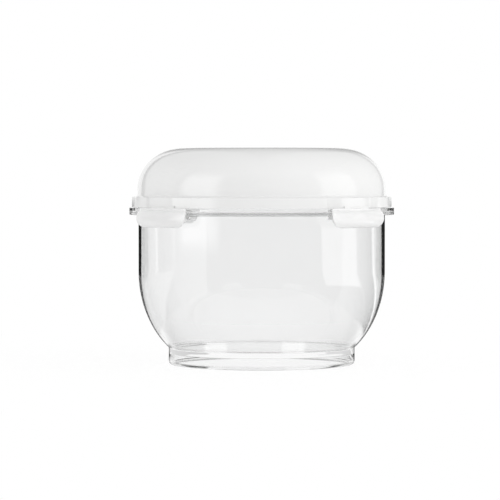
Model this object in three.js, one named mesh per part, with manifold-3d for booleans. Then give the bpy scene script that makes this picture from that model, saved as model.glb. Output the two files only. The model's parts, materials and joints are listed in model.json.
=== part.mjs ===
// Mixing bowl with a domed lid that four latches hold down.
// Millimetres, +Z up, -Y at the front. The origin is the centre of the foot's underside.

import * as THREE from 'three';
import { mergeVertices } from 'three/addons/utils/BufferGeometryUtils.js';
import Module from 'manifold-3d';

const wasm = await Module();
wasm.setup();

// Facets
const ROUND_STEPS = 64;
const BELLY_STEPS = 8;
const SHOULDER_STEPS = 8;
const BULGE_STEPS = 4;
const CORNER_STEPS = 3;
const WELD = 1e-4;

// Overall
const OVERALL_HEIGHT = 158;
const GAP = 0.3; // left between pieces that touch

// Bowl
const FOOT_DIAMETER = 136;
const FOOT_HEIGHT = 12.5;
const FOOT_WALL = 3;
const FOOT_EDGE = 0.8;
const RECESS_DEPTH = 11;
const FLOOR_THICKNESS = 3;
const FLOOR_BLEND = 5;
const BOWL_DIAMETER = 181;
const BOWL_WALL = 2.2;
const BELLY_RISE = 55.5; // from the foot up to where the wall runs upright
const BELLY_RUNOUT = 14.5; // how far below the foot the belly's ellipse would bottom out
const FLANGE_OVERHANG = 6.1;
const FLANGE_THICKNESS = 5.2;
const FLANGE_EDGE = 0.8;
const RIM_HEIGHT = 4;
const RIM_EDGE = 0.6;
const LUG_WIDTH = 48.4;
const LUG_DEPTH = 2.7;
const LUG_EDGE = 0.6;

// Seal ring
const SEAL_HEIGHT = 1.6;
const SEAL_EDGE = 0.4;

// Lid
const LID_LIFT = 0.4; // between the flange and the skirt, with the seal taking the load
const RIM_CLEARANCE = 0.5; // either side of the rim, in the lid's channel
const SKIRT_INSET = 1.8; // from the flange's edge in to the skirt's face
const SKIRT_EDGE = 0.8;
const ROOF_THICKNESS = 1.5; // of the ledge, over the channel
const RIB_DEPTH = 4.5;
const RIB_WALL = 1.8;
const RIB_EDGE = 0.5;
const DOME_MARGIN = 0.3; // how far the dome's wall stands out past the bowl's
const DOME_WALL = 2.2;
const DOME_UPRIGHT = 5.5;
const LEDGE_FILLET = 2.5;
const SHOULDER_WIDTH = 32.8;
const SHOULDER_HEIGHT = 30;
const PAD_WIDTH = 49;
const PAD_OVERHANG = 1.4; // from the flange's edge out to the pad's face
const PAD_LIFT = 1.2; // from the skirt's lower edge up to the pad's

// Latches and their hinge webs
const LATCH_NAMES = ['front_right', 'back_right', 'back_left', 'front_left'];
const LATCH_CLEARANCE = 0.5; // from the flange's edge out to the latch
const LATCH_WIDTH = 50.6;
const LATCH_DEPTH = 5.7;
const LATCH_WALL = 2.4;
const LATCH_BULGE = 1.3;
const LATCH_CORNER = 9.4;
const LATCH_EDGE = 0.8;
const LATCH_LIP = 2.1; // below the hook, for a fingertip
const NECK_HEIGHT = 3.4; // of the thick strip behind the hinge line
const NECK_WALL = 1;
const GROOVE_HEIGHT = 1.8; // of the slope from the hinge line out to the latch's face
const HINGE_GAP = 1.4;
const HINGE_EDGE = 0.6;
const HOOK_REACH = 2.8;
const HOOK_HEIGHT = 3.2;
const HOOK_NOSE = 1.2;
const HOOK_WIDTH = 40;
const WEB_WIDTH = 25;
const WEB_THICKNESS = 0.5;

// Radii and heights that the pieces share
const bowlRadius = BOWL_DIAMETER / 2;
const footRadius = FOOT_DIAMETER / 2;
const rimInside = bowlRadius - BOWL_WALL;
const flangeRadius = bowlRadius + FLANGE_OVERHANG;
const skirtRadius = flangeRadius - SKIRT_INSET;
const channelOutside = bowlRadius + RIM_CLEARANCE;
const channelInside = rimInside - RIM_CLEARANCE;
const padRadius = flangeRadius + PAD_OVERHANG;
const latchInside = flangeRadius + LATCH_CLEARANCE;
const ledge = OVERALL_HEIGHT - SHOULDER_HEIGHT - DOME_UPRIGHT;
const channelRoof = ledge - ROOF_THICKNESS;
const rimTop = channelRoof - SEAL_HEIGHT - 2 * GAP;
const flangeTop = rimTop - RIM_HEIGHT;
const flangeBottom = flangeTop - FLANGE_THICKNESS;
const lugBottom = flangeBottom - LUG_DEPTH;
const skirtBottom = flangeTop + LID_LIFT;
const padBottom = skirtBottom + PAD_LIFT;
const latchTop = padBottom - HINGE_GAP;
const hookTop = lugBottom - GAP;
const latchBottom = hookTop - HOOK_HEIGHT - LATCH_LIP;
const latchStations = LATCH_NAMES.map((name, i) => ({
  name, angle: ((2 * i - 1) * Math.PI) / LATCH_NAMES.length, // even steps, from half a step before +X
}));

const finishes = {
  clear: new THREE.MeshStandardMaterial({ color: 0xe9f0f1, roughness: 0.05, transparent: true, opacity: 0.3 }),
  white: new THREE.MeshStandardMaterial({ color: 0xf4f4f2, roughness: 0.28, metalness: 0 }),
  silicone: new THREE.MeshStandardMaterial({ color: 0xdfe3e4, roughness: 0.6, metalness: 0 }),
};

/** A closed geometry as a solid that can be joined and cut. */
function toSolid(geometry) {
  const bare = geometry.clone();
  bare.deleteAttribute('normal');
  bare.deleteAttribute('uv');
  const merged = mergeVertices(bare, WELD);
  const index = Array.from(merged.index.array);
  const triVerts = [];
  for (let i = 0; i < index.length; i += 3) {
    const corners = index.slice(i, i + 3);
    if (new Set(corners).size === 3) triVerts.push(...corners);
  }
  return new wasm.Manifold(new wasm.Mesh({
    numProp: 3,
    vertProperties: new Float32Array(merged.attributes.position.array),
    triVerts: new Uint32Array(triVerts),
  }));
}

/** A named piece made from a finished solid. */
function piece(name, solid, material) {
  const { vertProperties, triVerts } = solid.getMesh();
  const geometry = new THREE.BufferGeometry();
  geometry.setAttribute('position', new THREE.BufferAttribute(vertProperties, 3));
  geometry.setIndex(new THREE.BufferAttribute(triVerts, 1));
  geometry.computeVertexNormals();
  const mesh = new THREE.Mesh(geometry, material);
  mesh.name = name;
  return mesh;
}

/** Profile points from corners of [radius, height, edge], where an edge cuts its corner off. */
function outline(corners) {
  const points = corners.map(([radius, height]) => new THREE.Vector2(radius, height));
  return points.flatMap((here, i) => {
    const edge = corners[i][2] ?? 0;
    if (edge === 0) return [here];
    const sides = [points.at(i - 1), points[(i + 1) % points.length]];
    return sides.map((side) => here.clone().add(side.clone().sub(here).setLength(edge)));
  });
}

/** A profile that starts and ends on the axis, turned about +Z. */
function turned(corners) {
  return toSolid(new THREE.LatheGeometry(outline(corners), ROUND_STEPS).rotateX(Math.PI / 2));
}

/** A ring turned from a profile that closes on itself. */
function ring(corners) {
  const points = outline(corners);
  return toSolid(new THREE.LatheGeometry([...points, points[0]], ROUND_STEPS).rotateX(Math.PI / 2));
}

/** Points of a curve as profile corners. */
function corners(curve, steps) {
  return curve.getPoints(steps).map((point) => point.toArray());
}

/** The stretch of a ring that lies within a width across the +X direction. */
function stretch(ringSolid, width) {
  const reach = 2 * flangeRadius;
  const block = new THREE.BoxGeometry(reach, width, 2 * OVERALL_HEIGHT).translate(reach / 2, 0, 0);
  return ringSolid.intersect(toSolid(block));
}

/** The same solid at each of the four latches, joined to a body. */
function atLatches(body, makeSolid) {
  return latchStations.reduce((whole, { angle }) => {
    const { vertProperties, triVerts } = makeSolid().getMesh();
    const copy = new THREE.BufferGeometry();
    copy.setAttribute('position', new THREE.BufferAttribute(vertProperties, 3));
    copy.setIndex(new THREE.BufferAttribute(triVerts, 1));
    copy.rotateZ(angle);
    return whole.add(toSolid(copy));
  }, body);
}

/** Clear bowl: hollow foot, belly, upright wall, flange and rim, with a lug under each latch. */
function bowl() {
  const bellyTop = FOOT_HEIGHT + BELLY_RISE;
  const bellyHeight = BELLY_RISE + BELLY_RUNOUT;
  const footSine = BELLY_RISE / bellyHeight;
  const bellyWidth = (bowlRadius - footRadius) / (1 - Math.sqrt(1 - footSine ** 2));
  const bellyCentre = bowlRadius - bellyWidth;
  const belly = new THREE.EllipseCurve(
    bellyCentre, bellyTop, bellyWidth, bellyHeight, -Math.asin(footSine), 0);

  const insideWidth = bellyWidth - BOWL_WALL;
  const insideHeight = bellyHeight - BOWL_WALL;
  const floor = RECESS_DEPTH + FLOOR_THICKNESS;
  const insideSine = (height) => (bellyTop - height) / insideHeight;
  const blendTop = floor + FLOOR_BLEND / 2;
  const inside = new THREE.EllipseCurve(
    bellyCentre, bellyTop, insideWidth, insideHeight, 0, -Math.asin(insideSine(blendTop)), true);
  const floorRadius = bellyCentre + insideWidth * Math.sqrt(1 - insideSine(floor) ** 2);
  const blend = new THREE.QuadraticBezierCurve(
    inside.getPoint(1),
    new THREE.Vector2(floorRadius, floor),
    new THREE.Vector2(floorRadius - FLOOR_BLEND, floor));

  const shell = turned([
    [0, RECESS_DEPTH],
    [footRadius - FOOT_WALL, RECESS_DEPTH],
    [footRadius - FOOT_WALL, 0, FOOT_EDGE],
    [footRadius, 0, FOOT_EDGE],
    ...corners(belly, BELLY_STEPS),
    [bowlRadius, flangeBottom],
    [flangeRadius, flangeBottom, FLANGE_EDGE],
    [flangeRadius, flangeTop, FLANGE_EDGE],
    [bowlRadius, flangeTop],
    [bowlRadius, rimTop, RIM_EDGE],
    [rimInside, rimTop, RIM_EDGE],
    ...corners(inside, BELLY_STEPS),
    ...corners(blend, CORNER_STEPS).slice(1),
    [0, floor],
  ]);
  const lugRoot = bowlRadius - BOWL_WALL / 2;
  const lugJoin = flangeBottom + FLANGE_THICKNESS / 2;
  const lug = () => stretch(ring([
    [lugRoot, lugBottom],
    [flangeRadius, lugBottom, LUG_EDGE],
    [flangeRadius, lugJoin],
    [lugRoot, lugJoin],
  ]), LUG_WIDTH);
  return piece('bowl', atLatches(shell, lug), finishes.clear);
}

/** Soft ring in the lid's channel, on top of the bowl's rim. */
function sealRing() {
  const low = rimTop + GAP;
  const high = low + SEAL_HEIGHT;
  return piece('seal_ring', ring([
    [channelInside + GAP, low, SEAL_EDGE],
    [channelOutside - GAP, low, SEAL_EDGE],
    [channelOutside - GAP, high, SEAL_EDGE],
    [channelInside + GAP, high, SEAL_EDGE],
  ]), finishes.silicone);
}

/** White lid: dome, ledge, skirt, seal channel and the four pads that carry the latches. */
function lid() {
  const domeRadius = bowlRadius + DOME_MARGIN;
  const domeInside = domeRadius - DOME_WALL;
  const shoulderBottom = OVERALL_HEIGHT - SHOULDER_HEIGHT;
  const shoulderCentre = domeRadius - SHOULDER_WIDTH;
  const shoulder = new THREE.EllipseCurve(
    shoulderCentre, shoulderBottom, SHOULDER_WIDTH, SHOULDER_HEIGHT, 0, Math.PI / 2);
  const shoulderInside = new THREE.EllipseCurve(
    shoulderCentre, shoulderBottom, SHOULDER_WIDTH - DOME_WALL, SHOULDER_HEIGHT - DOME_WALL,
    Math.PI / 2, 0, true);

  const fillet = Math.min(LEDGE_FILLET, skirtRadius - domeRadius - SKIRT_EDGE);
  const ledgeCurve = new THREE.EllipseCurve(
    domeRadius + fillet, ledge + fillet, fillet, fillet, 1.5 * Math.PI, Math.PI, true);
  const ribInside = channelInside - RIB_WALL;
  const ribBottom = channelRoof - RIB_DEPTH;
  const ribTop = ledge + GAP;

  const shell = turned([
    [0, OVERALL_HEIGHT - DOME_WALL],
    ...corners(shoulderInside, SHOULDER_STEPS),
    [domeInside, ribTop + domeInside - ribInside],
    [ribInside, ribTop],
    [ribInside, ribBottom, RIB_EDGE],
    [channelInside, ribBottom, RIB_EDGE],
    [channelInside, channelRoof],
    [channelOutside, channelRoof],
    [channelOutside, skirtBottom],
    [skirtRadius, skirtBottom, SKIRT_EDGE],
    [skirtRadius, ledge, SKIRT_EDGE],
    ...corners(ledgeCurve, CORNER_STEPS),
    ...corners(shoulder, SHOULDER_STEPS),
    [0, OVERALL_HEIGHT],
  ]);
  const padRoot = (channelOutside + skirtRadius) / 2;
  const pad = () => stretch(ring([
    [padRoot, padBottom],
    [padRadius, padBottom, HINGE_EDGE],
    [padRadius, ledge, SKIRT_EDGE],
    [padRoot, ledge],
  ]), PAD_WIDTH);
  return piece('lid', atLatches(shell, pad), finishes.white);
}

/** The latch's front outline, with round lower corners, as a block that runs out along +X. */
function latchBlock() {
  const half = LATCH_WIDTH / 2;
  const cornerHeight = latchBottom + LATCH_CORNER;
  const shape = new THREE.Shape()
    .moveTo(half, latchTop)
    .lineTo(-half, latchTop)
    .absarc(LATCH_CORNER - half, cornerHeight, LATCH_CORNER, Math.PI, 1.5 * Math.PI)
    .absarc(half - LATCH_CORNER, cornerHeight, LATCH_CORNER, 1.5 * Math.PI, 2 * Math.PI);
  const block = new THREE.ExtrudeGeometry(shape, {
    depth: 2 * flangeRadius, bevelEnabled: false, curveSegments: 2 * CORNER_STEPS,
  });
  const across = new THREE.Vector3(0, 1, 0);
  const up = new THREE.Vector3(0, 0, 1);
  const out = new THREE.Vector3(1, 0, 0);
  return toSolid(block.applyMatrix4(new THREE.Matrix4().makeBasis(across, up, out)));
}

/** One latch, facing +X: a bowed plate with a hinge neck at its top and a hook behind it. */
function latch(name) {
  const face = latchInside + LATCH_DEPTH - LATCH_BULGE;
  const plateInside = latchInside + LATCH_DEPTH - LATCH_WALL;
  const faceTop = latchTop - HINGE_EDGE - GROOVE_HEIGHT;
  const bulge = new THREE.QuadraticBezierCurve(
    new THREE.Vector2(face, latchBottom + LATCH_EDGE),
    new THREE.Vector2(face + 2 * LATCH_BULGE, (latchBottom + faceTop) / 2),
    new THREE.Vector2(face, faceTop));
  const plate = ring([
    [plateInside, latchBottom],
    [face - LATCH_EDGE, latchBottom],
    ...corners(bulge, BULGE_STEPS),
    [latchInside + NECK_WALL, latchTop - HINGE_EDGE],
    [latchInside + NECK_WALL - HINGE_EDGE, latchTop],
    [latchInside, latchTop],
    [latchInside, latchTop - NECK_HEIGHT],
    [plateInside, latchTop - NECK_HEIGHT - GROOVE_HEIGHT],
  ]);
  const hookTip = flangeRadius - HOOK_REACH;
  const hookRoot = plateInside + LATCH_WALL / 2;
  const hook = stretch(ring([
    [hookTip, hookTop - HOOK_NOSE],
    [hookRoot, hookTop - HOOK_HEIGHT],
    [hookRoot, hookTop],
    [hookTip, hookTop],
  ]), HOOK_WIDTH);
  return piece(`latch_${name}`, plate.add(hook).intersect(latchBlock()), finishes.white);
}

/** The thin straight strip that one latch folds on, facing +X, between pad and neck. */
function hingeWeb(name) {
  const height = HINGE_GAP - 2 * GAP;
  const web = new THREE.BoxGeometry(WEB_THICKNESS, WEB_WIDTH, height);
  web.translate(latchInside, 0, padBottom - HINGE_GAP / 2);
  return piece(`hinge_web_${name}`, toSolid(web), finishes.white);
}

const mixingBowl = new THREE.Group();
mixingBowl.add(bowl(), sealRing(), lid());
for (const { name, angle } of latchStations) {
  const station = new THREE.Group();
  station.rotation.z = angle;
  station.add(latch(name), hingeWeb(name));
  mixingBowl.add(station);
}

export default mixingBowl;
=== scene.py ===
"""Looks for a clear mixing bowl with a white domed lid, a soft seal and four hinged latches.

Every piece is in metres, in the part's own frame: +Z up, -Y at the front, the foot's underside at z = 0.
"""

import json
import logging
import math
from dataclasses import dataclass, replace
from enum import Enum
from typing import Any, Callable, Mapping, Sequence, Union

import bpy
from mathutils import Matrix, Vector

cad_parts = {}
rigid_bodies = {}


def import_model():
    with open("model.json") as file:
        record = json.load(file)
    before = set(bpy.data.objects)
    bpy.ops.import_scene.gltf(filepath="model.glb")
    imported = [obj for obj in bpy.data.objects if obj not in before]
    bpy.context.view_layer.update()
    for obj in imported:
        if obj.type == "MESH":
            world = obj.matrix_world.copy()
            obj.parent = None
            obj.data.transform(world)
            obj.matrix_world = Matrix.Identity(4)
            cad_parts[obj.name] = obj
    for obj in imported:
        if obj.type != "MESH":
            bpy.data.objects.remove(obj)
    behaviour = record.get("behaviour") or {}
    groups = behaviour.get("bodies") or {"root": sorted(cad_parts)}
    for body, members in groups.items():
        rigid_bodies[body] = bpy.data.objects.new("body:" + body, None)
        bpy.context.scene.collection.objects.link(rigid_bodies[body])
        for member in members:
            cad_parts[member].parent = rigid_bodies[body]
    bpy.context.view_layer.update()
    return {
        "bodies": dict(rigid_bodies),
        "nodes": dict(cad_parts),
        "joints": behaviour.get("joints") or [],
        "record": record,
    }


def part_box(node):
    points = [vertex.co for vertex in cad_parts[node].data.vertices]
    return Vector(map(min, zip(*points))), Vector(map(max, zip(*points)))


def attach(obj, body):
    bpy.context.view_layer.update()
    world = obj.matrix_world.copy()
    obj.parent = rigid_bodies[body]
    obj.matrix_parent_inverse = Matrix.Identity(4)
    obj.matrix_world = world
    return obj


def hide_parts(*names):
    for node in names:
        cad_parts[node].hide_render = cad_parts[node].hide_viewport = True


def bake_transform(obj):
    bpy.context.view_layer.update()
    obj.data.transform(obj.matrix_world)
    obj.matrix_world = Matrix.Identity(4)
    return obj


LOG = logging.getLogger("mixing_bowl")
MM = 0.001
WELD = 0.002 * MM
NEAR = 0.02 * MM

ROUND_STEPS = 248
ROUND_ANGLE = math.tau / ROUND_STEPS
SPAN_ANGLE = 10 * ROUND_ANGLE  # how far a lug or a hinge pad reaches either side of its diagonal
DIAGONALS = [math.radians(angle) for angle in (-135, -45, 45, 135)]
SMOOTH_ANGLE = math.radians(40)
BEVEL_ANGLE = math.radians(32)
BEVEL_STEPS = 3
CURVE_STEPS = 28
FACING = 0.9  # least part of a face's normal along the direction that it faces
UPRIGHT = 0.1  # greatest part of an upright face's normal along +Z
MOST_TURNS = 3  # how often a clear wall turns a ray before it lets it straight through
LAMP_POWER = 4  # a lamp's power for each square metre, at which its face is as bright as white

Point = tuple[float, float]
Pair = tuple[float, float]
Span = tuple[float, float]
Colour = tuple[float, float, float]
Place = Callable[[Vector, Vector], bool]


class Slot(Enum):
    """The record's material slots."""

    CLEAR = "clear_plastic"
    WHITE = "white_plastic"
    SILICONE = "silicone"


class Pick(Enum):
    """What a selection picks, as Blender's three selection switches."""

    POINTS = (True, False, False)
    FACES = (False, False, True)


@dataclass(frozen=True)
class Ellipse:
    """An ellipse in a profile: the radius and height of its middle, half its width and half its height."""

    centre: Point
    reach: float
    rise: float

    def arc(self, start: float, end: float, steps: int) -> list[Point]:
        """Points in even steps from one angle to another, in radians from the outward direction."""
        angles = [start + (end - start) * i / steps for i in range(steps + 1)]
        radius, height = self.centre
        return [(radius + self.reach * math.cos(a), height + self.rise * math.sin(a)) for a in angles]

    def inset(self, wall: float) -> "Ellipse":
        """The ellipse that leaves a wall round it."""
        return Ellipse(self.centre, self.reach - wall, self.rise - wall)

    def angle_at(self, height: float) -> float:
        """The angle on the outer half at a height."""
        return math.asin((height - self.centre[1]) / self.rise)

    def radius_at(self, height: float) -> float:
        """The radius on the outer half at a height."""
        return self.centre[0] + self.reach * math.cos(self.angle_at(height))


def bow(start: Point, corner: Point, end: Point, steps: int) -> list[Point]:
    """A smooth curve in even steps between two points, whose ends aim at a corner."""
    def at(t: float) -> Point:
        """The point at a share of the way."""
        radius, height = ((1 - t) ** 2 * a + 2 * t * (1 - t) * b + t ** 2 * c
                          for a, b, c in zip(start, corner, end))
        return radius, height
    return [at(i / steps) for i in range(steps + 1)]


class Workpiece:
    """One mesh under the tools, modelled with edit-mode operators and finished with modifiers."""

    def __init__(self, name: str) -> None:
        """Start from a plane that is merged into a single point at the origin."""
        bpy.ops.object.select_all(action="DESELECT")
        bpy.ops.mesh.primitive_plane_add(size=MM)
        self.obj = bpy.context.object
        self.obj.name = name
        self.obj.data.name = name
        bpy.context.tool_settings.mesh_select_mode = Pick.POINTS.value
        bpy.ops.object.mode_set(mode="EDIT")
        bpy.ops.mesh.merge(type="CENTER")

    def draw(self, points: Sequence[Vector]) -> None:
        """Lay a chain of edges through points, each extruded from the one before."""
        bpy.ops.transform.translate(value=points[0])
        for here, there in zip(points, points[1:]):
            bpy.ops.mesh.extrude_region_move(TRANSFORM_OT_translate={"value": there - here})

    def turn(self, profile: Sequence[Point]) -> None:
        """Draw a profile of radius and height, and spin it about +Z into a closed skin."""
        self.draw([Vector((radius, 0, height)) for radius, height in profile])
        bpy.ops.mesh.select_all(action="SELECT")
        bpy.ops.mesh.spin(steps=ROUND_STEPS, angle=math.tau, center=(0, 0, 0), axis=(0, 0, 1))
        self.weld()

    def weld(self) -> None:
        """Merge points that meet, and turn every face outwards."""
        bpy.ops.mesh.select_all(action="SELECT")
        bpy.ops.mesh.remove_doubles(threshold=WELD)
        bpy.ops.mesh.normals_make_consistent(inside=False)

    def select(self, pick: Pick, test: Place) -> None:
        """Select the points or faces that pass a test.

        Args:
            pick: Whether to look at points or at faces.
            test: Takes a place and a normal, and says whether it is wanted.
        """
        bpy.context.tool_settings.mesh_select_mode = pick.value
        bpy.ops.mesh.select_all(action="DESELECT")
        bpy.ops.object.mode_set(mode="OBJECT")
        mesh = self.obj.data
        if pick is Pick.FACES:
            chosen = [face for face in mesh.polygons if test(face.center, face.normal)]
        else:
            chosen = [point for point in mesh.vertices if test(point.co, point.normal)]
        for item in chosen:
            item.select = True
        bpy.ops.object.mode_set(mode="EDIT")

    def extrude(self, offset: Sequence[float]) -> None:
        """Extrude what is selected."""
        bpy.ops.mesh.extrude_region_move(TRANSFORM_OT_translate={"value": offset})

    def draw_bar(self, outline: Sequence[Vector], offset: Sequence[float]) -> None:
        """Draw a closed outline, fill it and extrude it into a bar."""
        self.draw(outline)
        self.weld()
        bpy.ops.mesh.edge_face_add()
        self.extrude(offset)

    def score(self, place: Sequence[float], normal: Sequence[float]) -> None:
        """Cut a line of edges where a plane meets the skin."""
        bpy.ops.mesh.select_all(action="SELECT")
        bpy.ops.mesh.bisect(plane_co=place, plane_no=normal)

    def slice_off(self, place: Sequence[float], normal: Sequence[float]) -> None:
        """Cut away what lies beyond a plane, and close the cut."""
        bpy.ops.mesh.select_all(action="SELECT")
        bpy.ops.mesh.bisect(plane_co=place, plane_no=normal, use_fill=True, clear_outer=True)

    def apply(self, kind: str, **settings: Any) -> None:
        """Finish the mesh with one modifier, applied."""
        bpy.ops.object.mode_set(mode="OBJECT")
        modifier = self.obj.modifiers.new(kind, kind)
        for name, value in settings.items():
            setattr(modifier, name, value)
        bpy.ops.object.modifier_apply(modifier=modifier.name)

    def round_edges(self, width: float) -> None:
        """Round every sharp edge by a small bevel."""
        self.apply("BEVEL", width=width, segments=BEVEL_STEPS, limit_method="ANGLE",
                   angle_limit=BEVEL_ANGLE)

    def finish(self, edge: float) -> bpy.types.Object:
        """Round the sharp edges, and shade the mesh smooth."""
        self.round_edges(edge)
        return self.smooth()

    def smooth(self) -> bpy.types.Object:
        """Shade the finished mesh smooth, but for its sharp edges, with its flat faces kept flat."""
        bpy.ops.object.mode_set(mode="OBJECT")
        bpy.ops.object.shade_smooth_by_angle(angle=SMOOTH_ANGLE)
        self.apply("WEIGHTED_NORMAL", keep_sharp=True)
        return self.obj


def turned_copy(original: bpy.types.Object, name: str, angle: float) -> bpy.types.Object:
    """A copy of a finished piece with its own mesh, turned about +Z.

    Args:
        original: The piece to copy.
        name: The copy's name.
        angle: Turn in radians.

    Returns:
        The copy, with its turn in its mesh.
    """
    bpy.ops.object.select_all(action="DESELECT")
    original.select_set(True)
    bpy.context.view_layer.objects.active = original
    bpy.ops.object.duplicate(linked=False)
    copy = bpy.context.object
    copy.name = name
    copy.data.name = name
    copy.rotation_euler.z = angle
    bpy.ops.object.transform_apply(location=True, rotation=True, scale=True)
    return copy


def remove(obj: bpy.types.Object) -> None:
    """Delete a model of which only the copies are kept."""
    bpy.ops.object.select_all(action="DESELECT")
    obj.select_set(True)
    bpy.ops.object.delete()


def off_diagonal(place: Vector) -> float:
    """The angle about the bowl's axis between a place and the nearest of the four diagonals."""
    angle = math.atan2(place.y, place.x)
    return min(abs(angle - diagonal) for diagonal in DIAGONALS)


def radius_of(place: Vector) -> float:
    """Distance from the bowl's axis."""
    return math.hypot(place.x, place.y)


Level = Union[float, "Signal"]


@dataclass(frozen=True)
class Signal:
    """A shader socket that takes part in arithmetic by adding Math nodes."""

    graph: "Graph"
    socket: bpy.types.NodeSocket

    def __add__(self, other: Level) -> "Signal":
        """Sum."""
        return self.graph.math("ADD", self, other)

    def __sub__(self, other: Level) -> "Signal":
        """Difference."""
        return self.graph.math("SUBTRACT", self, other)

    def __rsub__(self, other: Level) -> "Signal":
        """Difference, taken from a number."""
        return self.graph.math("SUBTRACT", other, self)

    def __mul__(self, other: Level) -> "Signal":
        """Product."""
        return self.graph.math("MULTIPLY", self, other)

    def __or__(self, other: Level) -> "Signal":
        """The greater of the two."""
        return self.graph.math("MAXIMUM", self, other)

    def __abs__(self) -> "Signal":
        """Size without its sign."""
        return self.graph.math("ABSOLUTE", self, 0)

    def __gt__(self, other: Level) -> "Signal":
        """1 where this is greater, else 0."""
        return self.graph.math("GREATER_THAN", self, other)

    __radd__ = __add__
    __rmul__ = __mul__

    def step(self, low: float, high: float) -> "Signal":
        """A smooth step from 0 at one value to 1 at another."""
        settings = {"interpolation_type": "SMOOTHSTEP"}
        return self.graph.add("ShaderNodeMapRange", settings,
                              {"Value": self, "From Min": low, "From Max": high})

    def between(self, start: Span, end: Span) -> "Signal":
        """1 from one smooth step up to another, else 0."""
        return self.step(*start) * (1 - self.step(*end))


def toward(level: Level, other: Level, share: Signal) -> Signal:
    """A level that gives way to another by a share."""
    return share * (other - level) + level


class Graph:
    """A node tree that is written as expressions."""

    def __init__(self, tree: bpy.types.NodeTree) -> None:
        """Start from an empty tree."""
        self.tree = tree
        tree.nodes.clear()

    def add(self, kind: str, settings: Mapping[str, Any] | None = None,
            inputs: Mapping[Union[str, int], Any] | None = None, output: Union[str, int] = 0) -> Signal:
        """Add one node.

        Args:
            kind: The node's type.
            settings: Its properties, which are set first.
            inputs: Values or signals for its sockets, by name or number.
            output: The socket to return.

        Returns:
            One of the node's outputs.
        """
        node = self.tree.nodes.new(kind)
        for name, value in (settings or {}).items():
            setattr(node, name, value)
        for name, value in (inputs or {}).items():
            if isinstance(value, Signal):
                self.tree.links.new(value.socket, node.inputs[name])
            else:
                node.inputs[name].default_value = value
        return Signal(self, node.outputs[output] if len(node.outputs) else None)

    def math(self, operation: str, first: Level, second: Level) -> Signal:
        """A Math node on two values."""
        return self.add("ShaderNodeMath", {"operation": operation}, {0: first, 1: second})

    def noise(self, scale: float, detail: float) -> Signal:
        """Noise over the piece's own coordinates, in features per metre."""
        place = self.add("ShaderNodeTexCoord", output="Object")
        return self.add("ShaderNodeTexNoise", inputs={"Vector": place, "Scale": scale, "Detail": detail})

    def tint(self, factor: Signal, first: Sequence[float], second: Sequence[float]) -> Signal:
        """A colour between two others."""
        inputs = {0: factor, 6: (*first, 1), 7: (*second, 1)}
        return self.add("ShaderNodeMix", {"data_type": "RGBA"}, inputs, 2)

    def parts(self, vector: Signal) -> list[Signal]:
        """The three parts of a vector."""
        return [self.add("ShaderNodeSeparateXYZ", inputs={0: vector}, output=k) for k in range(3)]

    def light_path(self, output: str) -> Signal:
        """One of the facts known about a ray."""
        return self.add("ShaderNodeLightPath", output=output)

    def turned(self, times: int) -> Signal:
        """1 for rays that were mirrored more often than this, else 0."""
        return self.light_path("Glossy Depth") > times + 0.5

    def shown(self) -> Signal:
        """1 for rays that show a thing to the camera, straight or by way of gloss or a clear wall."""
        return 1 - (1 - self.light_path("Is Camera Ray")) * (1 - self.light_path("Is Glossy Ray"))

    def straight(self) -> Signal:
        """1 for the camera's own rays and for those that only passed through clear walls."""
        passed = self.light_path("Is Transmission Ray") * (1 - self.turned(0))
        return 1 - (1 - self.light_path("Is Camera Ray")) * (1 - passed)

    def bearing(self, place: Signal) -> Signal:
        """Degrees from the front, towards the right, of a place or direction seen from the object."""
        x, y, _ = self.parts(place)
        return self.math("ARCTAN2", x, 0 - y) * math.degrees(1)

    def bump(self, height: Signal, strength: float, distance: float) -> Signal:
        """A normal that follows a height."""
        inputs = {"Strength": strength, "Distance": distance, "Height": height}
        return self.add("ShaderNodeBump", inputs=inputs)


def new_material(name: str) -> tuple[bpy.types.Material, Graph]:
    """An empty node material and its graph."""
    material = bpy.data.materials.new(name)
    material.use_nodes = True
    return material, Graph(material.node_tree)


@dataclass(frozen=True)
class Moulding:
    """A moulded finish, with faint stains in its colour and a fine grain on its skin.

    Args:
        name: The material's name.
        light: Its lightest colour.
        dark: Its darkest colour.
        stain: Features per metre, and detail, of the stains.
        grain: Features per metre, and detail, of the grain.
        roughness: Least roughness, and how much the stains and the grain add to it.
        refraction: Index of refraction.
        bump: Strength and height of the grain.
        clearness: How much light goes through it.
        scatter: How far light spreads inside it, for pieces thin enough to glow.
    """

    name: str
    light: Colour
    dark: Colour
    stain: Pair
    grain: Pair
    roughness: tuple[float, float, float]
    refraction: float
    bump: Pair
    clearness: float = 0.0
    scatter: float = 0.0

    def shader(self, graph: Graph) -> Signal:
        """Its shader."""
        stain, grain = graph.noise(*self.stain), graph.noise(*self.grain)
        least, from_stain, from_grain = self.roughness
        return graph.add("ShaderNodeBsdfPrincipled", inputs={
            "Base Color": graph.tint(stain, self.dark, self.light),
            "Roughness": least + grain * from_grain + stain * from_stain,
            "IOR": self.refraction,
            "Transmission Weight": self.clearness,
            "Subsurface Weight": 1.0 if self.scatter else 0.0,
            "Subsurface Radius": (1, 1, 1),
            "Subsurface Scale": self.scatter,
            "Normal": graph.bump(grain, *self.bump),
        })

    def build(self) -> bpy.types.Material:
        """Make the material."""
        material, graph = new_material(self.name)
        graph.add("ShaderNodeOutputMaterial", inputs={"Surface": self.shader(graph)})
        return material


@dataclass(frozen=True)
class ClearMoulding(Moulding):
    """A clear finish, which lets light for other pieces and rays caught in its wall straight through."""

    def shader(self, graph: Graph) -> Signal:
        """Its shader, with the way straight through."""
        lighting = graph.light_path("Is Shadow Ray") | graph.light_path("Is Diffuse Ray")
        return graph.add("ShaderNodeMixShader", inputs={
            0: lighting | graph.turned(MOST_TURNS),
            1: super().shader(graph),
            2: graph.add("ShaderNodeBsdfTransparent"),
        })


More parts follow.
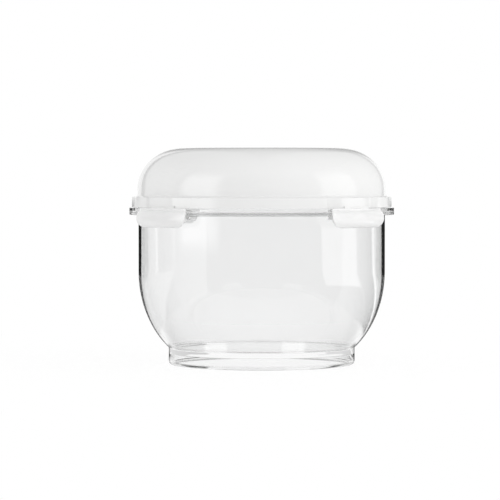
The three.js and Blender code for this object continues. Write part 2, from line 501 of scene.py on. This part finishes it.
# Soft-gloss white moulding: faint mottle in the colour, and a fine orange-peel skin.
WHITE_PLASTIC = Moulding(
    "soft_gloss_white", (0.885, 0.885, 0.88), (0.855, 0.857, 0.855), stain=(38, 3), grain=(1100, 2),
    roughness=(0.05, 0.04, 0.04), refraction=1.49, bump=(0.05, 0.2 * MM))
# Clear glossy moulding, with a trace of haze and flow lines.
CLEAR_PLASTIC = ClearMoulding(
    "clear_gloss_plastic", (0.982, 0.983, 0.983), (0.962, 0.964, 0.964), stain=(60, 4), grain=(45, 1),
    roughness=(0, 0.02, 0), refraction=1.5, bump=(0.03, 0.3 * MM), clearness=1.0)
# Matt pale silicone with a dusty bloom.
SILICONE = Moulding(
    "matt_silicone", (0.80, 0.82, 0.82), (0.72, 0.745, 0.75), stain=(160, 4), grain=(2400, 2),
    roughness=(0.5, 0.2, 0), refraction=1.41, bump=(0.08, 0.1 * MM))


class Finishes:
    """The object's materials, one for each slot of the record."""

    def __init__(self) -> None:
        """Make the materials."""
        self.materials = {
            Slot.CLEAR: CLEAR_PLASTIC.build(),
            Slot.WHITE: WHITE_PLASTIC.build(),
            Slot.SILICONE: SILICONE.build(),
        }
        self.thin_white = replace(WHITE_PLASTIC, name="soft_gloss_white_thin", scatter=6 * MM).build()

    def dress(self, piece: bpy.types.Object, slot: Slot, *nodes: str, thin: bool = False) -> None:
        """Give a piece its finish, and hide the CAD nodes that it takes the place of.

        Args:
            piece: The finished mesh.
            slot: The record's slot that it takes its finish from.
            nodes: The CAD nodes that it replaces.
            thin: Whether it is white plastic that lets some light through.
        """
        piece.data.materials.clear()
        piece.data.materials.append(self.thin_white if thin else self.materials[slot])
        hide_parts(*nodes)
        LOG.info("%s: %d faces, %s", piece.name, len(piece.data.polygons), slot.value)


@dataclass
class ClearBowl:
    """The bowl: a hollow foot ring, a belly, an upright wall, a grooved flange with lugs, and the rim."""

    rim_top: float
    flange_radius: float
    foot_radius: float = 68 * MM
    foot_height: float = 12.5 * MM
    foot_wall: float = 3 * MM
    foot_round: float = 3.0 * MM
    recess_depth: float = 8.5 * MM
    floor_thickness: float = 3 * MM
    floor_blend: float = 5 * MM
    wall: float = 1.9 * MM
    belly_rise: float = 55.5 * MM
    belly_runout: float = 14.5 * MM
    flange_overhang: float = 6.6 * MM
    flange_thickness: float = 5.2 * MM
    flange_web: float = 2.3 * MM
    flange_lip: float = 1.5 * MM
    groove_crown: float = 1.5 * MM
    rim_height: float = 4 * MM
    lug_depth: float = 2.2 * MM
    edge: float = 0.3 * MM

    @classmethod
    def from_frame(cls) -> "ClearBowl":
        """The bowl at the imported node's height and reach."""
        _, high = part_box("bowl")
        return cls(rim_top=high.z, flange_radius=high.x)

    @property
    def radius(self) -> float:
        """Outside of the upright wall."""
        return self.flange_radius - self.flange_overhang

    @property
    def flange_top(self) -> float:
        """Height of the flange's upper face."""
        return self.rim_top - self.rim_height

    @property
    def flange_bottom(self) -> float:
        """Height of the flange's underside."""
        return self.flange_top - self.flange_thickness

    def profile(self) -> list[Point]:
        """Half of the bowl's section, from the recess round the outside and back along the inside."""
        belly_top = self.foot_height + self.belly_rise
        rise = self.belly_rise + self.belly_runout
        reach = (self.radius - self.foot_radius) / (1 - math.sqrt(1 - (self.belly_rise / rise) ** 2))
        centre = (self.radius - reach, belly_top)
        outside = Ellipse(centre, reach, rise)
        inside = outside.inset(self.wall)
        floor = self.recess_depth + self.floor_thickness
        blend_top = floor + self.floor_blend / 2
        corner = (inside.radius_at(floor), floor)
        blend_end = (corner[0] - self.floor_blend, floor)
        inside_wall = inside.arc(0, inside.angle_at(blend_top), CURVE_STEPS)
        lip_inside = self.flange_radius - self.flange_lip
        groove_half = (lip_inside - self.radius) / 2
        crown_height = self.flange_top - self.flange_web - self.groove_crown
        groove = Ellipse((self.radius + groove_half, crown_height), groove_half, self.groove_crown)
        foot_centre = (self.foot_radius - self.foot_round, self.foot_round)
        foot_edge = Ellipse(foot_centre, self.foot_round, self.foot_round)
        return [
            (0, self.recess_depth),
            (self.foot_radius - self.foot_wall, self.recess_depth),
            (self.foot_radius - self.foot_wall, 0),
            *foot_edge.arc(-math.pi / 2, 0, CURVE_STEPS // 4),
            *outside.arc(outside.angle_at(self.foot_height), 0, CURVE_STEPS),
            *groove.arc(math.pi, 0, CURVE_STEPS // 2),
            (lip_inside, self.flange_bottom),
            (self.flange_radius, self.flange_bottom),
            (self.flange_radius, self.flange_top),
            (self.radius, self.flange_top),
            (self.radius, self.rim_top),
            (self.radius - self.wall, self.rim_top),
            *inside_wall,
            *bow(inside_wall[-1], corner, blend_end, CURVE_STEPS // 3)[1:],
            (0, floor),
        ]

    def add_lugs(self, work: Workpiece) -> None:
        """Draw the flange's lip down into a lug at each diagonal."""
        def under_lip(place: Vector, normal: Vector) -> bool:
            """Whether a face is under the lip, at a lug."""
            underside = normal.z < -FACING and abs(place.z - self.flange_bottom) < NEAR
            return underside and off_diagonal(place) < SPAN_ANGLE

        work.select(Pick.FACES, under_lip)
        work.extrude((0, 0, -self.lug_depth))
        work.weld()

    def build(self, finishes: Finishes) -> None:
        """Model and dress the bowl."""
        work = Workpiece("bowl_shell")
        work.turn(self.profile())
        self.add_lugs(work)
        shell = work.finish(self.edge)
        finishes.dress(shell, Slot.CLEAR, "bowl")
        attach(shell, "bowl")


@dataclass
class SoftSeal:
    """The seal: a soft ring in the lid's channel, grooved where it sits on the rim."""

    low: float
    high: float
    outside: float
    width: float = 2.6 * MM
    groove_depth: float = 0.35 * MM
    edge: float = 0.25 * MM

    @classmethod
    def from_frame(cls) -> "SoftSeal":
        """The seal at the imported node's place."""
        low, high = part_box("seal_ring")
        return cls(low=low.z, high=high.z, outside=high.x)

    def build(self, finishes: Finishes) -> None:
        """Model and dress the seal."""
        inside = self.outside - self.width
        third = self.width / 3
        profile = [
            (inside, self.low),
            (inside + third / 2, self.low),
            (inside + third, self.low + self.groove_depth),
            (inside + 2 * third, self.low + self.groove_depth),
            (self.outside - third / 2, self.low),
            (self.outside, self.low),
            (self.outside, self.high),
            (inside, self.high),
            (inside, self.low),
        ]
        work = Workpiece("seal_soft_ring")
        work.turn(profile)
        seal = work.finish(self.edge)
        finishes.dress(seal, Slot.SILICONE, "seal_ring")
        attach(seal, "lid")


@dataclass
class DomedLid:
    """The lid: dome, ledge, skirt, seal channel and the four pads that carry the latches."""

    top: float
    skirt_bottom: float
    skirt_radius: float
    dome_radius: float = 90.8 * MM
    dome_wall: float = 2.2 * MM
    dome_upright: float = 5.5 * MM
    shoulder_width: float = 32.8 * MM
    shoulder_height: float = 30 * MM
    ledge_fillet: float = 2.5 * MM
    roof_thickness: float = 1.5 * MM
    channel_outside: float = 91.0 * MM
    channel_inside: float = 87.8 * MM
    rib_wall: float = 1.8 * MM
    rib_depth: float = 4.5 * MM
    rib_shelf: float = 0.3 * MM
    pad_radius: float = 97.2 * MM
    pad_lift: float = 1.2 * MM
    hinge_angle: float = 5 * ROUND_ANGLE
    pad_ramp: tuple[float, ...] = (0.04, 0.16, 0.36, 0.6, 0.81, 0.95)
    edge: float = 0.5 * MM

    @classmethod
    def from_frame(cls) -> "DomedLid":
        """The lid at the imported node's heights and reach."""
        low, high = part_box("lid")
        return cls(top=high.z, skirt_bottom=low.z, skirt_radius=high.x)

    @property
    def ledge(self) -> float:
        """Height of the ledge round the dome's foot."""
        return self.top - self.shoulder_height - self.dome_upright

    @property
    def pad_bottom(self) -> float:
        """Height of the pads' undersides, over the hinge line."""
        return self.skirt_bottom + self.pad_lift

    def profile(self) -> list[Point]:
        """Half of the lid's section, from inside the crown down, round the skirt and over the dome."""
        centre = (self.dome_radius - self.shoulder_width, self.top - self.shoulder_height)
        outside = Ellipse(centre, self.shoulder_width, self.shoulder_height)
        inside = outside.inset(self.dome_wall)
        fillet_centre = (self.dome_radius + self.ledge_fillet, self.ledge + self.ledge_fillet)
        fillet = Ellipse(fillet_centre, self.ledge_fillet, self.ledge_fillet)
        dome_inside = self.dome_radius - self.dome_wall
        rib_inside = self.channel_inside - self.rib_wall
        roof = self.ledge - self.roof_thickness
        rib_bottom = roof - self.rib_depth
        rib_top = self.ledge + self.rib_shelf
        quarter = math.pi / 2
        return [
            (0, self.top - self.dome_wall),
            *inside.arc(quarter, 0, CURVE_STEPS),
            (dome_inside, rib_top + dome_inside - rib_inside),
            (rib_inside, rib_top),
            (rib_inside, rib_bottom),
            (self.channel_inside, rib_bottom),
            (self.channel_inside, roof),
            (self.channel_outside, roof),
            (self.channel_outside, self.skirt_bottom),
            (self.skirt_radius, self.skirt_bottom),
            (self.skirt_radius, self.pad_bottom),
            (self.skirt_radius, self.ledge),
            *fillet.arc(3 * quarter, 2 * quarter, CURVE_STEPS // 4),
            *outside.arc(0, quarter, CURVE_STEPS),
            (0, self.top),
        ]

    def add_pads(self, work: Workpiece) -> None:
        """Draw the skirt out into a pad at each diagonal, notched for its hinge and ramped at its ends."""
        def on_pad(place: Vector, normal: Vector) -> bool:
            """Whether a face of the skirt is at a pad."""
            upright = abs(normal.z) < UPRIGHT and self.skirt_bottom < place.z < self.ledge
            skirt = upright and abs(radius_of(place) - self.skirt_radius) < MM / 2
            beside_hinge = place.z > self.pad_bottom or off_diagonal(place) > self.hinge_angle
            return skirt and beside_hinge and off_diagonal(place) < SPAN_ANGLE

        work.select(Pick.FACES, on_pad)
        work.extrude((0, 0, 0))
        self.resize(self.pad_radius / self.skirt_radius)
        half_way = (self.skirt_radius + self.pad_radius) / 2
        for i, share in enumerate(self.pad_ramp):
            column = SPAN_ANGLE - i * ROUND_ANGLE

            def on_column(place: Vector, normal: Vector) -> bool:
                """Whether a point is on this column."""
                return radius_of(place) > half_way and abs(off_diagonal(place) - column) < ROUND_ANGLE / 2

            work.select(Pick.POINTS, on_column)
            radius = self.skirt_radius + share * (self.pad_radius - self.skirt_radius)
            self.resize(radius / self.pad_radius)
        work.weld()

    @staticmethod
    def resize(scale: float) -> None:
        """Move what is selected towards or away from the lid's axis."""
        bpy.ops.transform.resize(value=(scale, scale, 1), center_override=(0, 0, 0))

    def build(self, finishes: Finishes) -> None:
        """Model and dress the lid."""
        work = Workpiece("lid_shell")
        work.turn(self.profile())
        self.add_pads(work)
        shell = work.finish(self.edge)
        finishes.dress(shell, Slot.WHITE, "lid")
        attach(shell, "lid")


@dataclass
class LatchSet:
    """Four latches and the thin webs that they fold on, modelled once at the front and copied round."""

    hinge_radius: float
    hinge_height: float
    stations: dict[str, float]
    top: float
    bottom: float
    flange_radius: float
    width: float = 50.6 * MM
    depth: float = 5.7 * MM
    wall: float = 2.4 * MM
    bulge: float = 1.3 * MM
    corner: float = 8.2 * MM
    lower_edge: float = 0.8 * MM
    end_slant: float = 0.45
    strip_depth: float = 3.1 * MM
    strip_height: float = 0.9 * MM
    strip_back: float = 3.4 * MM
    groove_height: float = 2.1 * MM
    groove_depth: float = 0.4 * MM
    back_slope: float = 1.8 * MM
    hook_reach: float = 2.8 * MM
    hook_height: float = 3.2 * MM
    hook_nose: float = 1.2 * MM
    hook_width: float = 40 * MM
    hook_lip: float = 2.1 * MM
    web_width: float = 24.4 * MM
    web_thickness: float = 0.4 * MM
    web_inset: float = 0.2 * MM
    web_seat: float = 0.25 * MM
    web_waist: float = 0.7
    edge: float = 0.5 * MM
    bulge_steps: int = 10
    groove_steps: int = 6
    corner_steps: int = 10
    columns: int = 36
    web_rows: int = 10

    @classmethod
    def from_frame(cls, frame: Mapping[str, Any]) -> "LatchSet":
        """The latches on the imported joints' hinge lines."""
        joints = [joint for joint in frame["joints"] if joint["type"] == "hinge"]
        hinges = {joint["child"]: Vector(joint["pos_m"]) for joint in joints}
        any_latch, any_hinge = next(iter(hinges.items()))
        low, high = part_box(any_latch)
        return cls(
            hinge_radius=radius_of(any_hinge),
            hinge_height=any_hinge.z,
            stations={name: math.atan2(at.y, at.x) + math.pi / 2 for name, at in hinges.items()},
            top=high.z,
            bottom=low.z,
            flange_radius=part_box("bowl")[1].x,
        )

    @property
    def face(self) -> float:
        """Radius of the latch's face at its edges, which is bent true to the lid."""
        return self.hinge_radius + self.depth - self.bulge

    @property
    def plate_inside(self) -> float:
        """Radius of the plate's inner face."""
        return self.hinge_radius + self.depth - self.wall

    def section(self) -> list[Point]:
        """The latch's section: plate, bulging face, shallow groove and thick strip along the hinge line."""
        strip_low = self.top - self.strip_height
        face_top = (self.face, strip_low - self.groove_height)
        belly = (self.face + 2 * self.bulge, (self.bottom + face_top[1]) / 2)
        lower = (self.face, self.bottom + self.lower_edge)
        strip = self.hinge_radius + self.strip_depth
        groove = (strip - self.groove_depth, strip_low - self.groove_height / 3)
        back_low = self.top - self.strip_back
        return [
            (self.plate_inside, self.bottom),
            (self.face - self.lower_edge, self.bottom),
            *bow(lower, belly, face_top, self.bulge_steps),
            *bow(face_top, groove, (strip, strip_low), self.groove_steps)[1:],
            (strip, self.top),
            (self.hinge_radius, self.top),
            (self.hinge_radius, back_low),
            (self.plate_inside, back_low - self.back_slope),
            (self.plate_inside, self.bottom),
        ]

    def cut_blank(self, work: Workpiece, length: float) -> None:
        """Make the latch as a straight bar, flat in front, with its lower corners cut round."""
        half = length / 2
        outline = [Vector((-half, self.face - radius, height)) for radius, height in self.section()]
        work.draw_bar(outline, (length, 0, 0))
        work.weld()
        for side in (-1, 1):
            work.slice_off((side * half, 0, 0), Vector((side, self.end_slant, 0)).normalized())
            centre = Vector((side * (half - self.corner), 0, self.bottom + self.corner))
            for i in range(self.corner_steps):
                angle = (i + 0.5) * math.pi / 2 / self.corner_steps
                normal = Vector((side * math.sin(angle), 0, -math.cos(angle)))
                work.slice_off(centre + normal * self.corner, normal)

    def add_hook(self, work: Workpiece) -> None:
        """Draw the hook out of the plate's inner face, and slope its underside."""
        root_bottom = self.bottom + self.hook_lip
        root_top = root_bottom + self.hook_height
        half = self.hook_width / 2
        tip = self.face - (self.flange_radius - self.hook_reach)
        for height in (root_bottom, root_top):
            work.score((0, 0, height), (0, 0, 1))
        for side in (-half, half):
            work.score((side, 0, 0), (1, 0, 0))

        def hook_root(place: Vector, normal: Vector) -> bool:
            """Whether a face is where the hook begins."""
            inside_face = normal.y > FACING and abs(place.y - (self.face - self.plate_inside)) < NEAR
            return inside_face and abs(place.x) < half and root_bottom < place.z < root_top

        def under_tip(place: Vector, normal: Vector) -> bool:
            """Whether a point is under the hook's tip."""
            return place.y > tip - NEAR and place.z < root_bottom + NEAR

        work.select(Pick.FACES, hook_root)
        work.extrude((0, tip - (self.face - self.plate_inside), 0))
        work.select(Pick.POINTS, under_tip)
        bpy.ops.transform.translate(value=(0, 0, self.hook_height - self.hook_nose))
        work.weld()

    def model_latch(self) -> bpy.types.Object:
        """One latch at the front, bent to the lid's curve."""
        length = 2 * self.face * math.asin(self.width / 2 / self.face)
        work = Workpiece("latch_model")
        self.cut_blank(work, length)
        self.add_hook(work)
        work.round_edges(self.edge)
        bpy.ops.object.mode_set(mode="EDIT")
        for i in range(1, self.columns):
            work.score((length * (i / self.columns - 0.5), 0, 0), (1, 0, 0))
        work.apply("SIMPLE_DEFORM", deform_method="BEND", deform_axis="Z", angle=length / self.face)
        bpy.ops.object.mode_set(mode="EDIT")
        bpy.ops.mesh.select_all(action="SELECT")
        bpy.ops.transform.translate(value=(0, -self.face, 0))
        work.weld()
        return work.smooth()

    def model_web(self, pad_bottom: float) -> bpy.types.Object:
        """One hinge web at the front: a thin strip, waisted along the line that it folds on."""
        low = self.top - self.web_seat
        high = pad_bottom + self.web_seat
        half = self.web_width / 2
        thick = self.web_thickness / 2
        work = Workpiece("web_model")
        corners = [(-half, -thick), (half, -thick), (half, thick), (-half, thick), (-half, -thick)]
        middle = self.hinge_radius - self.web_inset
        work.draw_bar([Vector((x, y - middle, low)) for x, y in corners], (0, 0, high - low))
        for i in range(1, self.web_rows):
            work.score((0, 0, low + (high - low) * i / self.web_rows), (0, 0, 1))

        def at_fold(place: Vector, normal: Vector) -> bool:
            """Whether a point is near the hinge line."""
            return abs(place.z - self.hinge_height) < 2 * self.web_seat

        work.select(Pick.POINTS, at_fold)
        fold = (0, -middle, self.hinge_height)
        bpy.ops.transform.resize(value=(1, self.web_waist, 1), center_override=fold)
        work.weld()
        return work.smooth()

    def build(self, finishes: Finishes, pad_bottom: float) -> None:
        """Model, copy and dress the latches and their webs."""
        latch = self.model_latch()
        web = self.model_web(pad_bottom)
        for body, turn in self.stations.items():
            station = body.removeprefix("latch_")
            flap = turned_copy(latch, f"latch_flap_{station}", turn)
            finishes.dress(flap, Slot.WHITE, body, thin=True)
            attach(flap, body)
            strip = turned_copy(web, f"hinge_strip_{station}", turn)
            finishes.dress(strip, Slot.WHITE, f"hinge_web_{station}")
            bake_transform(strip)
        remove(latch)
        remove(web)


@dataclass(frozen=True)
class SoftBox:
    """A soft rectangular lamp that faces the object, and only lights it.

    Its azimuth is in degrees from the front, towards the right, and a radiance of 1 is white.
    """

    name: str = "right_softbox"
    azimuth: float = 70.0
    elevation: float = 25.0
    size: Pair = (0.9, 1.3)
    radiance: float = 0.58
    distance: float = 1.3
    aim_height: float = 0.09

    def build(self) -> None:
        """Add the lamp."""
        turn, lift = math.radians(self.azimuth), math.radians(self.elevation)
        flat = math.cos(lift)
        towards = Vector((math.sin(turn) * flat, -math.cos(turn) * flat, math.sin(lift)))
        width, height = self.size
        lamp = bpy.data.lights.new(self.name, "AREA")
        lamp.shape = "RECTANGLE"
        lamp.size = width
        lamp.size_y = height
        lamp.energy = LAMP_POWER * width * height * self.radiance
        obj = bpy.data.objects.new(self.name, lamp)
        obj.location = Vector((0, 0, self.aim_height)) + towards * self.distance
        obj.rotation_euler = towards.to_track_quat("Z", "Y").to_euler()
        obj.visible_camera = False
        obj.visible_glossy = False
        obj.visible_transmission = False
        bpy.context.scene.collection.objects.link(obj)
        LOG.info("lamp %s", self.name)


@dataclass(frozen=True)
class Panel:
    """A bright or dark sheet that stands round the table, where polished faces mirror it.

    Args:
        name: What the panel is.
        start: Its left end, in degrees from the front towards the right.
        end: Its right end.
        level: How bright it is, where 1 is white.
        reach: Distances from the object between which it begins on the floor.
        blur: Degrees over which its ends fade.
        inner: How much of it shows by way of a clear wall.
        lean: Degrees by which it moves round for a rise of 1, with the square of the rise.
        standing: Whether it also shows over the horizon.
        limit: Distances from the object between which it ends on the floor, if it does.
    """

    name: str
    start: float
    end: float
    level: float
    reach: Span = (0.0, 0.01)
    blur: float = 3.0
    inner: float = 1.0
    lean: float = 0.0
    standing: bool = True
    limit: Span | None = None

    def window(self, bearing: Signal, rise: Level) -> Signal:
        """1 in the directions that the panel covers, else 0."""
        if self.lean:
            bearing = bearing - rise * rise * self.lean
        half = self.blur / 2
        start, end = ((at - half, at + half) for at in (self.start, self.end))
        return bearing.between(start, end)


def lay(panels: Sequence[Panel], level: Level, bearing: Signal,
        rise: Level = 0.0, distance: Signal | None = None) -> Signal:
    """Lay panels over a plain level.

    Args:
        panels: The panels, from the lowest up.
        level: How bright it is round them.
        bearing: Degrees from the front, towards the right.
        rise: Sine of the elevation.
        distance: How far away a place on the floor is.

    Returns:
        How bright it is in that direction.
    """
    for panel in panels:
        if distance is None and not panel.standing:
            continue
        LOG.debug("panel %s", panel.name)
        share = panel.window(bearing, rise)
        if panel.inner < 1:
            share = share * (1 - bearing.graph.light_path("Is Transmission Ray") * (1 - panel.inner))
        if distance is not None:
            share = share * distance.step(*panel.reach)
            if panel.limit:
                share = share * (1 - distance.step(*panel.limit))
        level = toward(level, panel.level, share)
    return level


@dataclass(frozen=True)
class Backdrop:
    """The dark strips of floor, painted dark reflections that only mirrored rays see, and the white sheet
    behind the object, as polished faces mirror them.

    Two dark patches lie nearer, painted dark reflections that only rays mirrored once see, where the foot's
    lower edge mirrors them. A span is the stretch over which a thing begins or ends, in metres, in degrees
    from the front or in sines of elevation.

    Args:
        strip: How bright the strips and the patches are.
        strip_inside: Where each strip begins, from the middle.
        strip_outside: Where it ends.
        strip_spread: How much further out it ends for each metre behind the object.
        strip_least: Where it ends at its narrowest.
        strip_near: Where it begins, behind the object.
        strip_deep: Where it begins for rays that were turned more than once.
        strip_far: Where it gives way to the sheet.
        patch_left: Where the left patch begins, from the middle.
        patch_right: Where the right one begins.
        patch_outside: Where both end beside the foot.
        patch_near: Where both begin, behind the object.
        patch_far: Where both end.
        sheet: How bright the sheet is.
        sheet_left: Where it begins on the left.
        sheet_right: Where it begins on the right.
        lean: Degrees by which it begins later for a rise of 1.
        wall: How bright the wall over the sheet's middle is.
        wall_start: Where the wall begins, on either side.
        sheet_top: Where the sheet gives way to the wall, going up.
    """

    strip: float = 0.02
    strip_inside: Span = (0.066, 0.07)
    strip_outside: Span = (0.045, 0.065)
    strip_spread: float = 0.55
    strip_least: Span = (0.078, 0.086)
    strip_near: Span = (0.0, 0.03)
    strip_deep: Span = (0.2, 0.26)
    strip_far: Span = (7.0, 11.0)
    patch_left: Span = (0.0405, 0.042)
    patch_right: Span = (0.052, 0.054)
    patch_outside: Span = (0.07, 0.074)
    patch_near: Span = (-0.012, -0.006)
    patch_far: Span = (0.1, 0.11)
    sheet: float = 1.0
    sheet_left: Span = (145.5, 148)
    sheet_right: Span = (155, 158)
    lean: float = 130.0
    wall: float = 0.15
    wall_start: Span = (166, 174)
    sheet_top: Span = (0.08, 0.2)

    def hang_sheet(self, around: Signal, bearing: Signal, lean: Level = 0.0) -> Signal:
        """Lay the sheet over the panels, beginning later by some degrees."""
        left = (0 - bearing - lean).step(*self.sheet_left)
        right = (bearing - lean).step(*self.sheet_right)
        return toward(around, self.sheet, left + right)

    def strips(self, aside: Signal, back: Signal) -> Signal:
        """1 on the dark strips, else 0.

        Args:
            aside: How far a place is from the middle.
            back: How far it is behind the object.

        Returns:
            The share of the strips.
        """
        graph = back.graph
        seen = graph.turned(0) * (1 - graph.turned(1) * (1 - back.step(*self.strip_deep)))
        outside = (aside - back * self.strip_spread).step(*self.strip_outside)
        outside = outside * aside.step(*self.strip_least)
        along = back.between(self.strip_near, self.strip_far)
        # Only rays mirrored at least once see the strips: painted dark reflections that draw the clear
        # walls' dark outlines.
        return seen * aside.step(*self.strip_inside) * (1 - outside) * along

    def patches(self, x: Signal, back: Signal) -> Signal:
        """1 on the dark patches, else 0.

        Args:
            x: How far a place is to the right of the middle.
            back: How far it is behind the object.

        Returns:
            The share of the patches.
        """
        once = back.graph.turned(0) * (1 - back.graph.turned(1))
        left = (0 - x).between(self.patch_left, self.patch_outside)
        right = x.between(self.patch_right, self.patch_outside)
        # Only rays mirrored exactly once see the patches: painted dark reflections on the foot's rounded
        # lower edge.
        return once * (left + right) * back.between(self.patch_near, self.patch_far)

    def above(self, around: Signal, bearing: Signal, rise: Signal) -> Signal:
        """Lay the sheet over the panels round the table, and the wall over the sheet's middle."""
        over = rise.step(*self.sheet_top) * abs(bearing).step(*self.wall_start)
        return toward(self.hang_sheet(around, bearing, rise * rise * self.lean), self.wall, over)


@dataclass
class Studio:
    """White table and surroundings, soft lamps, and the camera at the photograph's angle."""

    floor_size: float = 24.0
    floor_colour: float = 0.9
    table_edge: Span = (0.2, 0.42)
    board_front: Span = (0.195, 0.21)
    board_side: Span = (0.118, 0.132)
    board_slant: float = 0.4
    table_shade: float = 0.12
    table_glow: float = 0.89
    horizon_light: float = 1.3
    zenith_light: float = 0.7
    ceiling_grey: float = 0.5
    ceiling_edge: Span = (0.45, 0.8)
    board_glow: float = 0.3
    board_back: Span = (-0.02, 0.02)
    under_foot: Span = (0.06, 0.064)
    front_grey: float = 0.19
    trap_reach: Span = (0.15, 0.3)
    flag_grey: float = 0.03
    flag_rise: Span = (0.05, 0.08)
    flag_end: Span = (176.4, 177.1)
    flag_lean: float = 28.0
    backdrop: Backdrop = Backdrop()
    camera_distance: float = 2.0
    camera_height: float = 0.145
    camera_azimuth: float = 1.3
    aim_height: float = 0.0835
    aim_left: float = 0.00855
    lens: float = 196.9
    lamp: SoftBox = SoftBox()
    panels: tuple[Panel, ...] = (
        Panel("left_flank", -170, -86, 0.75),
        Panel("left_gap", -148, -136, 0.15, (7.0, 11.0), inner=0.0, lean=-130.0),
        Panel("left_box", -78, -40, 2.4, (2.2, 3.6), 12.0, inner=0.0),
        Panel("right_box", 58, 99, 1.6, (0.36, 0.46), inner=0.5),
        Panel("right_flank", 100, 170, 0.65),
        Panel("right_shade", 101, 125, 0.15, standing=False),
        Panel("right_strip", 126, 130, 1.4, blur=2.0, standing=False),
        Panel("right_gap", 148, 158, 0.25, (7.0, 11.0), inner=0.0, lean=130.0),
    )
    glints: tuple[Panel, ...] = (
        Panel("left_glint", -43, -24, 1.3, (0.064, 0.066), limit=(0.078, 0.081)),
        Panel("right_glint", 16, 33, 1.3, (0.064, 0.066), limit=(0.078, 0.081)),
    )

    def build_world(self) -> None:
        """White behind the object, the studio in reflections, and plain light."""
        world = bpy.data.worlds.new("studio")
        world.use_nodes = True
        bpy.context.scene.world = world
        graph = Graph(world.node_tree)
        direction = graph.add("ShaderNodeTexCoord", output="Generated")
        rise = graph.parts(direction)[2]
        bearing = graph.bearing(direction)
        around = lay(self.panels, self.front_grey, bearing, rise)
        around = toward(around, self.ceiling_grey, rise.step(*self.ceiling_edge))
        around = self.backdrop.above(around, bearing, rise)
        around = toward(around, 1, graph.turned(MOST_TURNS))
        flags = graph.light_path("Is Transmission Ray") * rise.step(*self.flag_rise)
        flags = flags * (1 - (abs(bearing) + rise * rise * self.flag_lean).step(*self.flag_end))
        behind = 1 - flags * (1 - self.flag_grey)
        plain_light = toward(self.horizon_light, self.zenith_light, rise.step(0, 1))
        strength = toward(plain_light, toward(around, behind, graph.straight()), graph.shown())
        light = graph.add("ShaderNodeBackground", inputs={"Color": (1, 1, 1, 1), "Strength": strength})
        graph.add("ShaderNodeOutputWorld", inputs={"Surface": light})
        world.cycles.sampling_method = "NONE"

    def build_floor(self) -> None:
        """A white board that keeps the object's soft shadow, and beyond its edge the studio round it."""
        bpy.ops.object.select_all(action="DESELECT")
        bpy.ops.mesh.primitive_plane_add(size=self.floor_size)
        floor = bpy.context.object
        floor.name = "studio_floor"
        material, graph = new_material("studio_white")
        place = graph.add("ShaderNodeTexCoord", output="Object")
        distance = graph.add("ShaderNodeVectorMath", {"operation": "LENGTH"}, {0: place}, "Value")
        x, y, _ = graph.parts(place)
        aside = abs(x)
        board = abs(y).step(*self.board_front) | (aside + y * self.board_slant).step(*self.board_side)
        straight = graph.straight()
        beyond = toward(board, distance.step(*self.table_edge), straight)
        bearing = graph.bearing(place)
        around = lay(self.panels, self.front_grey, bearing, distance=distance)
        around = self.backdrop.hang_sheet(around, bearing)
        around = toward(around, 1 - distance.step(*self.trap_reach), graph.turned(MOST_TURNS))
        shown = graph.shown()
        # Dark strips and patches that only mirrored rays see: painted dark reflections on the clear walls.
        strips = self.backdrop.strips(aside, y) | self.backdrop.patches(x, y)
        shade = toward(self.floor_colour, (1 - beyond) * (1 - strips) * self.table_shade, shown)
        white = y.step(*self.board_back) | 1 - distance.step(*self.under_foot) | straight
        table = lay(self.glints, self.board_glow, bearing, distance=distance)
        table = toward(table, self.table_glow, white)
        glow = toward(table, toward(around, 1, straight), beyond)
        glow = shown * toward(glow, self.backdrop.strip, strips)
        matt = graph.add("ShaderNodeBsdfDiffuse", inputs={"Color": shade})
        light = graph.add("ShaderNodeEmission", inputs={"Strength": glow})
        both = graph.add("ShaderNodeAddShader", inputs={0: matt, 1: light})
        graph.add("ShaderNodeOutputMaterial", inputs={"Surface": both})
        material.cycles.emission_sampling = "NONE"
        floor.data.materials.append(material)

    def build_camera(self) -> None:
        """A long lens a little above the lid's ledge, aimed so that the object sits right of the middle."""
        turn = math.radians(self.camera_azimuth)
        right = Vector((math.cos(turn), math.sin(turn), 0))
        back = Vector((math.sin(turn), -math.cos(turn), 0))
        camera = bpy.data.cameras.new("photo_view")
        camera.lens = self.lens
        camera.clip_end = 4 * self.floor_size
        obj = bpy.data.objects.new("photo_view", camera)
        obj.location = back * self.camera_distance + Vector((0, 0, self.camera_height))
        target = Vector((0, 0, self.aim_height)) - right * self.aim_left
        obj.rotation_euler = (obj.location - target).to_track_quat("Z", "Y").to_euler()
        bpy.context.scene.collection.objects.link(obj)
        bpy.context.scene.camera = obj

    def build(self) -> None:
        """Set up everything round the object."""
        bpy.context.scene.view_settings.view_transform = "Standard"
        self.build_camera()
        self.build_world()
        self.build_floor()
        self.lamp.build()


def main() -> None:
    """Build the object round its frame."""
    logging.basicConfig(level=logging.INFO, format="%(message)s")
    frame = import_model()
    Studio().build()
    finishes = Finishes()
    ClearBowl.from_frame().build(finishes)
    SoftSeal.from_frame().build(finishes)
    lid = DomedLid.from_frame()
    lid.build(finishes)
    LatchSet.from_frame(frame).build(finishes, lid.pad_bottom)


if __name__ == "__main__":
    main()
